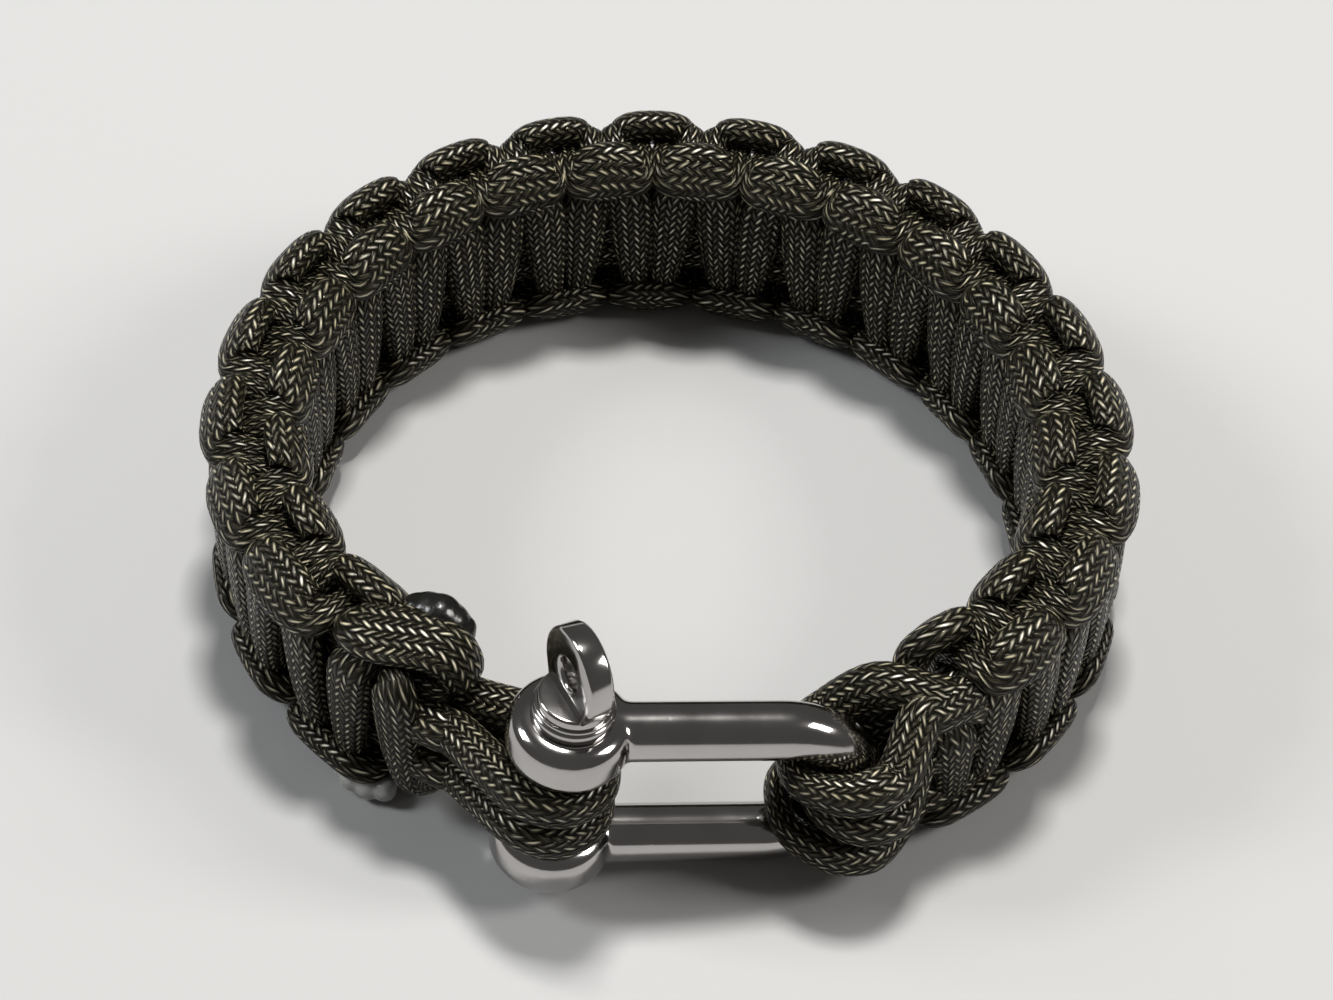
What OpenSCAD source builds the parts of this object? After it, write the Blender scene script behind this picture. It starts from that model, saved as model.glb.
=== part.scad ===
/* [Band] */
// Width of the woven band, from edge to edge
band_width = 22.8; // [21:0.2:26]
// Thickness of the woven band over its knots
band_thickness = 9.8; // [9:0.1:11]
// Half of the ring's left to right size, at the middle of the band
ring_half_width = 37.8; // [34:0.2:44]
// Depth of the ring's back half, at the middle of the band
ring_back_depth = 37.2; // [33:0.1:42]
// Depth of the ring's front half, where the shackle pulls it flatter
ring_front_depth = 32.8; // [30:0.1:38]
// How far the ring is pushed out of round, as a slope towards the front
ring_skew = 0.03; // [0:0.01:0.08]
// Length of one whole knot along the band
knot_pitch = 9.6; // [8.8:0.1:12]
// Depth of the notch between two turns on an edge
edge_notch = 3.8; // [2:0.1:4.5]
// Depth of the groove between two turns on a face
turn_groove = 1.9; // [1:0.1:2.6]
// Depth of the groove between two bars on a face
bar_groove = 1.2; // [0.5:0.1:1.8]

/* [Cord] */
// Diameter of the cord
cord_diameter = 4; // [3.4:0.1:4.2]
// Gap kept between a cord and what it lies on
cord_gap = 0.2; // [0.1:0.05:0.3]
// Half thickness of the cord where it is pulled flat round the pin
pin_bight_half = 1.15; // [1:0.05:1.8]
// Half thickness of the cord where it is pulled flat in the bend
bow_bight_half = 1.15; // [1:0.05:1.5]
// How far the upper and lower wraps keep off the corners of the bend
corner_shift = 1.5; // [1:0.1:2]
// Height between the loops' legs where they enter the band at the bend
bow_leg_spacing = 5.7; // [4.4:0.1:5.8]
// Height between the loops' legs where they enter the band at the pin
pin_leg_spacing = 5.4; // [5:0.1:10]
// Distance of a loop's legs from the middle of the band's thickness
leg_offset = 2.1; // [1.9:0.05:2.2]

/* [Shackle] */
// Diameter of the shackle's rod
rod_diameter = 5.2; // [4:0.1:5.6]
// Clear height between the two legs
inner_width = 9.4; // [8.8:0.1:11]
// Distance from the pin's axis to the centre of the bend
pin_to_bend = 18.4; // [15.5:0.1:22]
// Outer diameter of the eyes
eye_diameter = 10.8; // [10.4:0.1:12.4]
// Rounding of the eyes' outer edges
eye_rounding = 1.8; // [1:0.1:1.9]
// Distance of the pin's axis to the left of the ring's centre
pin_left = 8.3; // [6:0.2:11]
// How far the pin stands in front of the band's middle line
pin_forward = 1.6; // [0:0.1:3]
// Height of the shackle's middle over the band's middle, at the pin
pin_raise = 1.0; // [0.8:0.1:2]
// Turn of the shackle about the vertical, its bend going back
shackle_yaw = 8; // [6:0.5:12]
// Lean of the pin to the right
shackle_lean = 6.2; // [4:0.1:7.4]
// Distance from the pin's axis to the left end of the weave, sideways
pin_reach = 9.8; // [9:0.2:12]
// Distance from the bend's rod to the right end of the weave, sideways
bend_reach = 6.2; // [5.4:0.2:8]

/* [Screw pin] */
// Diameter of the pin
pin_diameter = 5; // [4:0.1:5.4]
// Running clearance round the pin in the eyes
pin_clearance = 0.08; // [0.03:0.01:0.1]
// Diameter of the collar that seats on the upper eye
collar_diameter = 7.2; // [6.8:0.1:9]
// Height of the collar
collar_height = 1.2; // [0.8:0.1:2]
// Diameter of the neck over the collar
neck_diameter = 6.4; // [5.6:0.1:7]
// Height of the neck over the collar
neck_height = 1.4; // [1:0.1:3]
// Width of the thumb tab
tab_width = 8.4; // [7.5:0.1:10]
// Thickness of the thumb tab
tab_thickness = 2.3; // [2:0.1:3]
// Height of the tab's centre over the collar
tab_centre = 4.4; // [4:0.1:7]
// Diameter of the hole through the tab
tab_hole_diameter = 3; // [2:0.1:3.6]
// Turn of the tab about the pin
tab_turn = -69; // [-90:1:90]

/* [Melted ends] */
// Radius of the upper melted end's rounding
melted_round = 2.2; // [1.8:0.1:2.6]
// Height of the upper melted end over the band's inner face
melted_height = 1.8; // [1:0.1:1.8]
// Distance of the upper melted end under the band's upper edge
melted_top_drop = 3.8; // [2:0.1:8]
// Distance of the upper melted end from the left end of the weave
melted_top_back = 4.2; // [2.5:0.1:6]
// Diameter of the lower melted end
bead_diameter = 2.2; // [1.8:0.1:2.4]

/* [Hidden] */
$fn = 64;

rod_radius = rod_diameter / 2;
pin_radius = pin_diameter / 2;
cord_radius = cord_diameter / 2;
bend_radius = inner_width / 2 + rod_radius;
eye_top = bend_radius + rod_radius;
seat_gap = 0.1;
cut_over = 1;

// Place of the shackle: the pin's axis at the middle of its height
pin_place = [-pin_left, -ring_front_depth - pin_forward, band_width / 2 + pin_raise];
bend_across = (pin_to_bend + bend_radius) * cos(shackle_lean) * cos(shackle_yaw);

// Middle line of the ring: a point at an angle, and the lengths along the line to the angles
function ring_at(angle) = [
    ring_half_width * cos(angle),
    (sin(angle) < 0 ? ring_front_depth : ring_back_depth) * sin(angle)
        - ring_skew * ring_half_width * cos(angle)
];
length_step = 3;
ring_lengths = [
    for (
        angle = -90, length = 0;
        angle <= 270;
        length = length + norm(ring_at(angle + length_step) - ring_at(angle)), angle = angle + length_step
    )
        [angle, length]
];
angle_rows = [for (row = ring_lengths) [row[1], row[0]]];

// Ends of the weave, as places along the ring, and the knots between them
start_place = lookup(-acos((bend_across - pin_left + bend_reach) / ring_half_width), ring_lengths);
end_place = lookup(180 + acos((pin_left + pin_reach) / ring_half_width), ring_lengths);
end_margin = 3.0;
first_turn = start_place + end_margin;
last_turn = end_place - end_margin;
knot_count = round((last_turn - first_turn) / knot_pitch);
knot_length = (last_turn - first_turn) / knot_count;
rings_per_knot = 8;
ring_step = knot_length / rings_per_knot;

// A point of the ring at a place along it, the way along there, and a point of the band there
function ring_point(t) = ring_at(lookup(t, angle_rows));
function ring_along(t) = let(
    d = ring_point(t + 0.5) - ring_point(t - 0.5)
) d / norm(d);
function ring_out(t) = let(d = ring_along(t)) [d.y, -d.x];
function in_band(t, out, up) = let(
    p = ring_point(t) + out * ring_out(t)
) [p.x, p.y, up];

// Weave: the distance in knots from the nearest turn, and the shape of turns and bars there
function off_turn(t, shift) = let(
    k = (t - first_turn) / knot_length + shift
) abs(k - round(k));
function turn_shape(off) = sqrt(max(0, 1 - pow(2 * off, 2)));
function bar_shape(off) = sqrt(max(0, 1 - pow(4 * (off - 0.25), 2)));

// Points of a quarter of the band's section: share of the half thickness, share of the
// half width, share of the turns' relief, the rest being the bars'
section_rows = [
    [1, 0.12, 0],
    [1, 0.38, 0.15],
    [0.98, 0.62, 0.8],
    [0.87, 0.86, 1],
    [0.52, 1, 1],
    [0.14, 0.93, 0.5]
];
section_quarter = len(section_rows);
band_sides = 4 * section_quarter;

// One point of the band's section: upper inner and lower outer turns lie in line,
// the other two lie half a knot on
function band_point(t, j) = let(
    quarter = floor(j / section_quarter),
    place = j % section_quarter,
    row = section_rows[quarter % 2 == 0 ? place : section_quarter - 1 - place],
    out_side = quarter == 0 || quarter == 3 ? 1 : -1,
    up_side = quarter < 2 ? 1 : -1,
    off = off_turn(t, out_side * up_side < 0 ? 0 : 0.5),
    missing = 1 - turn_shape(off),
    relief = row[2] * turn_groove * missing + (1 - row[2]) * bar_groove * (1 - bar_shape(off)),
    out = out_side * (row[0] * band_thickness / 2 - relief),
    up = up_side * (row[1] * band_width / 2 - row[2] * edge_notch * missing)
) in_band(t, out, band_width / 2 + up);

// Faces of a tube of n rings with m points each
function tube_faces(n, m) = concat(
    [[for (j = [m - 1 : -1 : 0]) j]],
    [for (i = [0 : n - 2], j = [0 : m - 1]) [i * m + j, (i + 1) * m + (j + 1) % m, (i + 1) * m + j]],
    [for (i = [0 : n - 2], j = [0 : m - 1]) [i * m + j, i * m + (j + 1) % m, (i + 1) * m + (j + 1) % m]],
    [[for (j = [0 : m - 1]) (n - 1) * m + j]]
);

module woven_band() {
    rings_before = floor((first_turn - start_place) / ring_step);
    rings_after = floor((end_place - last_turn) / ring_step);
    stations = concat(
        [start_place],
        [for (i = [-rings_before : knot_count * rings_per_knot + rings_after]) first_turn + i * ring_step],
        [end_place]
    );
    points = [
        for (t = stations, j = [0 : band_sides - 1])
            band_point(t, j)
    ];
    color([0.17, 0.16, 0.11])
        polyhedron(points, tube_faces(len(stations), band_sides));
}

// From the shackle's own axes to the ring's: x runs from the pin to the bend, z along the pin
function placed(p) = let(
    leaned = [
        p.x * cos(shackle_lean) + p.z * sin(shackle_lean),
        p.y,
        p.z * cos(shackle_lean) - p.x * sin(shackle_lean)
    ]
) pin_place + [
    leaned.x * cos(shackle_yaw) - leaned.y * sin(shackle_yaw),
    leaned.x * sin(shackle_yaw) + leaned.y * cos(shackle_yaw),
    leaned.z
];

// A smooth line through rows of equal length, with some steps from each row to the next
function blend_row(a, b, c, d, u) = 0.5 * (
    2 * b + (c - a) * u + (2 * a - 5 * b + 4 * c - d) * u * u + (3 * b - a - 3 * c + d) * u * u * u
);
function smooth_rows(rows, steps) = let(last = len(rows) - 1) concat(
    [
        for (i = [0 : last - 1], k = [0 : steps - 1])
            blend_row(rows[max(i - 1, 0)], rows[i], rows[i + 1], rows[min(i + 2, last)], k / steps)
    ],
    [rows[last]]
);

// A cord along rows of [x, y, z, half width, half height], cut at both ends by the band's end
// face, which the cord leaves along a given direction
cord_sides = 10;
cord_steps = 3;
function row_place(row) = [row[0], row[1], row[2]];
module cord(rows, leaving) {
    foot = len(rows) - 1;
    between = [for (i = [1 : foot - 1]) rows[i]];
    line = concat([rows[0]], smooth_rows(between, cord_steps), [rows[foot]]);
    last = len(line) - 1;
    points = [
        for (i = [0 : last])
            let(
                along = i == 0 ? leaving
                    : i == last ? -leaving
                    : row_place(line[i + 1]) - row_place(line[i - 1]),
                ahead = along / norm(along),
                side_raw = cross(ahead, [0, 0, 1]),
                side = side_raw / norm(side_raw),
                up = cross(side, ahead)
            )
            for (j = [0 : cord_sides - 1])
                let(a = (j + 0.5) * 360 / cord_sides)
                row_place(line[i]) + line[i][3] * cos(a) * side + line[i][4] * sin(a) * up
    ];
    color([0.2, 0.19, 0.13])
        polyhedron(points, tube_faces(len(line), cord_sides));
}

function mixed(a, b, share) = a + (b - a) * share;

// Legs of a loop where they leave the band's end face: at the face, then well off it
leg_lead = 2;
function leg_rows(t, away, out, up) = [
    for (off = [cord_gap, leg_lead])
        concat(in_band(t + away * off, out, up), [cord_radius, cord_radius])
];
function off_face(t, away) = let(d = away * ring_along(t)) [d.x, d.y, 0];
function reversed(rows) = [for (i = [len(rows) - 1 : -1 : 0]) rows[i]];

// Wraps round the pin: turn about the pin, share of the cord's full roundness
pin_wrap_rows = [
    [-145, 1],
    [-95, 0.6],
    [-45, 0.2],
    [0, 0],
    [60, 0.7]
];
wrap_lift = 0.25;
module pin_loop(level) {
    wrap = [
        for (row = pin_wrap_rows)
            let(
                half = mixed(pin_bight_half, cord_radius, row[1]),
                reach = pin_radius + cord_gap + half,
                height = level * (cord_radius + cord_gap) + wrap_lift
            )
            concat(placed([reach * cos(row[0]), reach * sin(row[0]), height]), [half, cord_radius])
    ];
    up = band_width / 2 + level * pin_leg_spacing / 2;
    rows = concat(
        leg_rows(end_place, 1, leg_offset, up),
        wrap,
        reversed(leg_rows(end_place, 1, -leg_offset, up))
    );
    cord(rows, off_face(end_place, 1));
}

// Wraps round the bend: turn about its rod, share of full roundness, share of the corner shift,
// share of the spread towards the band
bow_wrap_rows = [
    [96, 0.9, 0.2, 0],
    [135, 0.3, 0.9, 0],
    [180, 0, 1, 0],
    [225, 0.3, 0.9, 0],
    [264, 0.8, 0.2, 0],
    [292, 1, -0.4, 0.5],
    [320, 1, -0.7, 1]
];
bow_spread = 0.6;
module bow_loop(level) {
    squeezed_half = (inner_width - 6 * cord_gap) / 6;
    wrap = [
        for (row = bow_wrap_rows)
            let(
                half_width = mixed(bow_bight_half, cord_radius, row[1]),
                half_height = mixed(squeezed_half, cord_radius, row[1]),
                reach = rod_radius + cord_gap + half_width,
                height = level * (2 * half_height + 1.5 * cord_gap + row[3] * bow_spread),
                rod_place = pin_to_bend + sqrt(pow(bend_radius, 2) - pow(height, 2)),
                across = rod_place + reach * cos(row[0]) - abs(level) * row[2] * corner_shift
            )
            concat(placed([across, reach * sin(row[0]), height]), [half_width, half_height])
    ];
    up = band_width / 2 + level * bow_leg_spacing;
    rows = concat(
        leg_rows(start_place, -1, -leg_offset, up),
        wrap,
        reversed(leg_rows(start_place, -1, leg_offset, up))
    );
    cord(rows, off_face(start_place, -1));
}

module in_shackle() {
    translate(pin_place)
        rotate([0, shackle_lean, shackle_yaw])
            children();
}

module eye() {
    rim_place = eye_diameter / 2 - eye_rounding;
    rim_height = rod_radius - eye_rounding;
    rotate_extrude() {
        translate([0, -rod_radius])
            square([rim_place, rod_diameter]);
        translate([0, -rim_height])
            square([eye_diameter / 2, 2 * rim_height]);
        for (side = [-1, 1])
            translate([rim_place, side * rim_height])
                intersection() {
                    circle(eye_rounding);
                    translate([0, -eye_rounding])
                        square([eye_rounding, 2 * eye_rounding]);
                }
    }
}

module shackle_body() {
    color([0.62, 0.61, 0.6])
        in_shackle()
            difference() {
                union() {
                    for (side = [-1, 1])
                        translate([0, 0, side * bend_radius]) {
                            eye();
                            rotate([0, 90, 0])
                                cylinder(h = pin_to_bend, d = rod_diameter);
                        }
                    translate([pin_to_bend, 0, 0])
                        rotate([90, 0, 0])
                            rotate([0, 0, -90])
                                rotate_extrude(angle = 180)
                                    translate([bend_radius, 0])
                                        circle(d = rod_diameter);
                }
                cylinder(h = 2 * (eye_top + cut_over), d = pin_diameter + 2 * pin_clearance, center = true);
            }
}

// Outline of the thumb tab over the collar: a round head that narrows to the neck
module tab_outline() {
    taper_turn = 25;
    foot_inset = 0.4;
    head_radius = tab_width / 2;
    foot_half = sqrt(pow(neck_diameter, 2) - pow(tab_thickness, 2)) / 2 - foot_inset;
    translate([0, tab_centre])
        circle(head_radius);
    polygon([
        [-foot_half, 0],
        [foot_half, 0],
        [head_radius * cos(taper_turn), tab_centre - head_radius * sin(taper_turn)],
        [-head_radius * cos(taper_turn), tab_centre - head_radius * sin(taper_turn)]
    ]);
}

module shackle_pin() {
    collar_foot = eye_top + seat_gap;
    collar_top = collar_foot + collar_height;
    color([0.7, 0.69, 0.68])
        in_shackle() {
            difference() {
                union() {
                    translate([0, 0, -eye_top])
                        cylinder(h = collar_top + eye_top, d = pin_diameter);
                    translate([0, 0, collar_foot])
                        cylinder(h = collar_height, d = collar_diameter);
                    translate([0, 0, collar_top])
                        cylinder(h = neck_height, d = neck_diameter);
                    translate([0, 0, collar_top])
                        rotate([90, 0, tab_turn])
                            linear_extrude(height = tab_thickness, center = true)
                                tab_outline();
                }
                translate([0, 0, collar_top + tab_centre])
                    rotate([90, 0, tab_turn])
                        cylinder(h = tab_thickness + 2 * cut_over, d = tab_hole_diameter, center = true);
            }
        }
}

// A cord's end, melted to a button that is flat against the band's inner face
module melted_button(t, up) {
    color([0.09, 0.09, 0.09])
        translate(in_band(t, -band_thickness / 2 - seat_gap, up))
            rotate([0, -90, atan2(ring_out(t).y, ring_out(t).x)])
                intersection() {
                    translate([0, 0, melted_height - melted_round])
                        sphere(melted_round);
                    cylinder(h = melted_height, r = melted_round);
                }
}

// A cord's end, melted to a bead in the notch between two turns of the lower edge
module melted_bead(t, out) {
    color([0.32, 0.32, 0.3])
        translate(in_band(t, out, bead_diameter / 2 + seat_gap))
            sphere(d = bead_diameter);
}

woven_band();
pin_loop(1);  // pin_loop_upper
pin_loop(-1);  // pin_loop_lower
bow_loop(1);  // bow_loop_upper
bow_loop(0);  // bow_loop_middle
bow_loop(-1);  // bow_loop_lower
shackle_body();
shackle_pin();
melted_button(end_place - melted_top_back, band_width - melted_top_drop);  // melted_end_top
melted_bead(last_turn - knot_length / 2, leg_offset);  // melted_end_bottom
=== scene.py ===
import math
from math import cos, sin, radians, sqrt

import bpy
import numpy as np
from mathutils import Matrix, Vector


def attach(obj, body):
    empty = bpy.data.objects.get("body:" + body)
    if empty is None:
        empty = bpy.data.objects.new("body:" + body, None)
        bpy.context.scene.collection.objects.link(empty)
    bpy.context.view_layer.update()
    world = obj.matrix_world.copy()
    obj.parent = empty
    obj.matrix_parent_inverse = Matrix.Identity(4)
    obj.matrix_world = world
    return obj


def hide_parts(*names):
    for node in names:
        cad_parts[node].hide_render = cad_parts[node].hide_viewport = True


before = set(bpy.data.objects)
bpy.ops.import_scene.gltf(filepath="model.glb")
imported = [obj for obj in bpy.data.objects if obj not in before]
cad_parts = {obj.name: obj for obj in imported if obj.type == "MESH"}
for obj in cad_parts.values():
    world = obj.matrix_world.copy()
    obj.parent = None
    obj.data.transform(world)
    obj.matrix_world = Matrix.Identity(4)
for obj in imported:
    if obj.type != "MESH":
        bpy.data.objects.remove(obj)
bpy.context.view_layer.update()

mm = 0.001


# the camera's view, fitted to the photo
view = {
    "elevation": 49.0,       # degrees above the table
    "distance": 312.0,       # mm from the point looked at
    "lookAtHeight": 11.68,   # mm
    "roll": 2.2,             # degrees, right side lower
    "lens": 90.77,           # mm
    "sensor": 36,            # mm
    "shift": (-0.00075, -0.00675),
}


def placeCamera():
    data = bpy.data.cameras.new("braceletCamera")
    data.lens = view["lens"]
    data.sensor_width = view["sensor"]
    data.shift_x, data.shift_y = view["shift"]
    data.clip_start = 0.01
    camera = bpy.data.objects.new("braceletCamera", data)
    bpy.context.scene.collection.objects.link(camera)
    up = radians(view["elevation"])
    away = view["distance"] * mm
    place = Vector((0, -away * cos(up), view["lookAtHeight"] * mm + away * sin(up)))
    turn = Matrix.Rotation(radians(90) - up, 4, "X") @ Matrix.Rotation(radians(view["roll"]), 4, "Z")
    camera.matrix_world = Matrix.Translation(place) @ turn
    bpy.context.scene.camera = camera


studio = {
    "floorSize": 6.0,        # metres
    "floorRoughness": 0.9,
    "floorColor": (0.42, 0.42, 0.42, 1),
    "worldColor": (1.0, 0.975, 0.95, 1),
    "worldStrength": 0.1,
    # name: place, aim, size across and along, watts, color
    "lamps": {
        "overheadBox": ((0.03, 0.20, 0.86), (0, 0, 0.01), (0.14, 0.12), 8.8, (1, 0.985, 0.955)),
        "leftBox": ((-0.75, 0.02, 0.62), (0, 0, 0.01), (0.24, 0.34), 4.9, (0.96, 0.98, 1)),
        "rightBox": ((0.75, -0.08, 0.62), (0, 0, 0.01), (0.24, 0.34), 4.7, (1, 0.98, 0.95)),
    },
}


def dressStudio():
    bpy.ops.mesh.primitive_plane_add(size=studio["floorSize"], location=(0, 0, 0))
    floor = bpy.context.object
    floor.name = "floor"
    material = bpy.data.materials.new("paleFloor")
    material.use_nodes = True
    shader = material.node_tree.nodes["Principled BSDF"]
    shader.inputs["Base Color"].default_value = studio["floorColor"]
    shader.inputs["Roughness"].default_value = studio["floorRoughness"]
    floor.data.materials.append(material)

    world = bpy.data.worlds.new("softStudio")
    world.use_nodes = True
    background = world.node_tree.nodes["Background"]
    background.inputs["Color"].default_value = studio["worldColor"]
    background.inputs["Strength"].default_value = studio["worldStrength"]
    bpy.context.scene.world = world
    bpy.context.scene.view_settings.view_transform = "Standard"

    for name, (place, aim, size, watts, color) in studio["lamps"].items():
        lamp = bpy.data.lights.new(name, "AREA")
        lamp.shape = "RECTANGLE"
        lamp.size, lamp.size_y = size
        lamp.energy = watts
        lamp.color = color
        holder = bpy.data.objects.new(name, lamp)
        holder.location = place
        holder.rotation_euler = (Vector(aim) - Vector(place)).to_track_quat("-Z", "Y").to_euler()
        bpy.context.scene.collection.objects.link(holder)


# the ring that the band's middle line follows, in mm, with the values of part.scad
ring = {
    "halfWidth": 37.8,
    "backDepth": 37.2,
    "frontDepth": 32.8,
    "skew": 0.03,            # share of x by which y is less, so the right side is nearer
    "bandWidth": 22.8,
    "knotPitch": 9.6,        # wanted length of a knot
    "endMargin": 3.0,        # from an end of the band to its first or last knot
    "pinReach": 9.8,         # from the pin's middle to the band's end, across
    "bendReach": 6.2,        # from the middle of the bend's rod to the band's start, across
    "legOffset": 2.1,        # from the band's middle line to a loop's leg
}
# the shackle, in mm and degrees, with the values of part.scad
shackle = {
    "rod": 5.2,
    "innerWidth": 9.4,
    "pinToBend": 18.4,
    "eye": 10.8,
    "eyeRounding": 1.8,
    "boreRadius": 2.58,
    "drillLength": 40.0,
    "pinLeft": 8.3,
    "pinForward": 1.6,
    "pinRaise": 1.0,
    "yaw": 8.0,
    "lean": 6.2,
    "grain": 0.23,           # size of the remeshed faces
    "softening": 14,         # rounds of smoothing where the legs meet the eyes
}
bendRadius = shackle["innerWidth"] / 2 + shackle["rod"] / 2
pinPlace = Vector((
    -shackle["pinLeft"], -ring["frontDepth"] - shackle["pinForward"],
    ring["bandWidth"] / 2 + shackle["pinRaise"],
))
shackleMatrix = (
    Matrix.Translation(pinPlace)
    @ Matrix.Rotation(radians(shackle["yaw"]), 4, "Z")
    @ Matrix.Rotation(radians(shackle["lean"]), 4, "Y")
)


def ringAt(degrees):
    a = radians(degrees)
    depth = ring["frontDepth"] if sin(a) < 0 else ring["backDepth"]
    x = ring["halfWidth"] * cos(a)
    return Vector((x, depth * sin(a) - ring["skew"] * x, 0))


ringAngles = [-90 + i for i in range(361)]
ringLengths = [0.0]
for before, after in zip(ringAngles, ringAngles[1:]):
    ringLengths.append(ringLengths[-1] + (ringAt(after) - ringAt(before)).length)


def placeOfAngle(degrees):
    return float(np.interp(degrees, ringAngles, ringLengths))


bendTilt = cos(radians(shackle["lean"])) * cos(radians(shackle["yaw"]))
bendAcross = (shackle["pinToBend"] + bendRadius) * bendTilt
startPlace = placeOfAngle(-math.degrees(math.acos(
    (bendAcross - shackle["pinLeft"] + ring["bendReach"]) / ring["halfWidth"])))
endPlace = placeOfAngle(180 + math.degrees(math.acos(
    (shackle["pinLeft"] + ring["pinReach"]) / ring["halfWidth"])))
firstTurn = startPlace + ring["endMargin"]
lastTurn = endPlace - ring["endMargin"]
knotCount = round((lastTurn - firstTurn) / ring["knotPitch"])
knotLength = (lastTurn - firstTurn) / knotCount


def ringPoint(t):
    return ringAt(float(np.interp(t, ringLengths, ringAngles)))


def bandFrame(t):
    step = 0.5   # mm to either side
    along = (ringPoint(t + step) - ringPoint(t - step)).normalized()
    return ringPoint(t), along, Vector((along.y, -along.x, 0))


def inBand(t, out, up):  # up is counted from the middle of the band's width
    middle, _, outward = bandFrame(t)
    return middle + outward * out + Vector((0, 0, ring["bandWidth"] / 2 + up))


def blendRows(a, b, c, d, u):  # a smooth curve through four rows, at the share u from b to c
    a, b, c, d = (np.array(r, float) for r in (a, b, c, d))
    squared = 2 * a - 5 * b + 4 * c - d
    cubed = 3 * b - a - 3 * c + d
    return 0.5 * (2 * b + (c - a) * u + squared * u ** 2 + cubed * u ** 3)


def smoothRows(rows, steps):
    last = len(rows) - 1
    smooth = []
    for i in range(last):
        before, beyond = rows[max(i - 1, 0)], rows[min(i + 2, last)]
        for k in range(steps):
            smooth.append(blendRows(before, rows[i], rows[i + 1], beyond, k / steps))
    smooth.append(np.array(rows[-1], float))
    return smooth


sheathLay = 10.0   # mm of cord for one unit of the V coordinate


# a strand is a tube along stations of place, normal, half width and half thickness; plump below 1
# squares its section, and it closes over the first and last few stations
def sweepStrand(name, stations, sides=20, plump=0.86, closing=3):
    places = [Vector(s[0]) for s in stations]
    last = len(places) - 1
    points, around, uvRows, length = [], [], [], 0.0
    for i, (place, normal, halfWidth, halfThick) in enumerate(stations):
        ahead = (places[min(i + 1, last)] - places[max(i - 1, 0)]).normalized()
        across = ahead.cross(Vector(normal)).normalized()
        above = across.cross(ahead)
        if i:
            length += (places[i] - places[i - 1]).length
        fromEnd = min(i, last - i)
        share = sqrt(1 - (1 - (fromEnd + 0.4) / closing) ** 2) if fromEnd < closing else 1
        section = []
        for j in range(sides):
            a = 2 * math.pi * j / sides
            c, s = cos(a), sin(a)
            x = math.copysign(abs(c) ** plump, c) * halfWidth * share
            y = math.copysign(abs(s) ** plump, s) * halfThick * share
            section.append((x, y))
            points.append((Vector(place) + across * x + above * y) * mm)
        steps = [math.dist(a, b) for a, b in zip(section, section[1:] + section[:1])]
        around.append([sum(steps[:j]) / sum(steps) for j in range(sides + 1)])
        uvRows.append(length / sheathLay)
    faces, uvs = [], []
    for i in range(last):
        for j in range(sides):
            k = (j + 1) % sides
            faces.append((i * sides + j, i * sides + k, (i + 1) * sides + k, (i + 1) * sides + j))
            near, far = around[i], around[i + 1]
            uvs += [(near[j], uvRows[i]), (near[j + 1], uvRows[i]),
                    (far[j + 1], uvRows[i + 1]), (far[j], uvRows[i + 1])]
    faces.append(tuple(reversed(range(sides))))
    uvs += [(j / sides, uvRows[0]) for j in reversed(range(sides))]
    faces.append(tuple(range(last * sides, (last + 1) * sides)))
    uvs += [(j / sides, uvRows[-1]) for j in range(sides)]
    mesh = bpy.data.meshes.new(name)
    mesh.from_pydata(points, [], faces)
    layer = mesh.uv_layers.new(name="sheath")
    layer.data.foreach_set("uv", [value for pair in uvs for value in pair])
    mesh.update()
    strand = bpy.data.objects.new(name, mesh)
    bpy.context.scene.collection.objects.link(strand)
    bpy.ops.object.select_all(action="DESELECT")
    strand.select_set(True)
    bpy.context.view_layer.objects.active = strand
    bpy.ops.object.mode_set(mode="EDIT")
    bpy.ops.mesh.select_all(action="SELECT")
    bpy.ops.mesh.normals_make_consistent(inside=False)
    bpy.ops.object.mode_set(mode="OBJECT")
    bpy.ops.object.shade_smooth()
    strand.select_set(False)
    return strand, length


# one working strand from the middle of a turn to the middle of the bar on the other face:
# knots from the turn's middle, mm outward, mm up, turn of the normal from outward to up,
# half width, half thickness
upperTurn = [
    (0.00, -3.00, 8.65, 147, 2.90, 1.50),
    (0.13, -3.00, 8.60, 147, 2.88, 1.50),
    (0.24, -2.95, 8.35, 146, 2.65, 1.50),
    (0.32, -2.65, 8.05, 140, 2.25, 1.45),
    (0.37, -1.80, 7.95, 125, 1.75, 1.40),
    (0.385, -0.60, 7.60, 100, 1.40, 1.40),
    (0.37, 0.60, 7.10, 70, 1.40, 1.40),
    (0.34, 1.70, 6.70, 42, 1.60, 1.40),
    (0.295, 2.60, 6.20, 20, 2.00, 1.40),
    (0.255, 3.00, 5.20, 8, 2.28, 1.35),
    (0.235, 3.12, 3.30, 2, 2.33, 1.35),
    (0.22, 3.15, 0.40, 0, 2.15, 1.35),
]
lowerTurn = [
    (0.00, -3.10, -8.60, -150, 2.55, 1.50),
    (0.14, -3.10, -8.60, -150, 2.55, 1.50),
    (0.26, -2.95, -8.65, -146, 2.45, 1.50),
    (0.345, -2.00, -8.75, -128, 1.90, 1.50),
    (0.375, -0.50, -8.60, -100, 1.40, 1.50),
    (0.365, 0.80, -8.00, -70, 1.35, 1.50),
    (0.345, 2.00, -6.90, -35, 1.40, 1.40),
    (0.327, 2.70, -5.60, -15, 1.50, 1.35),
    (0.30, 3.05, -2.60, -4, 1.85, 1.35),
]
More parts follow.
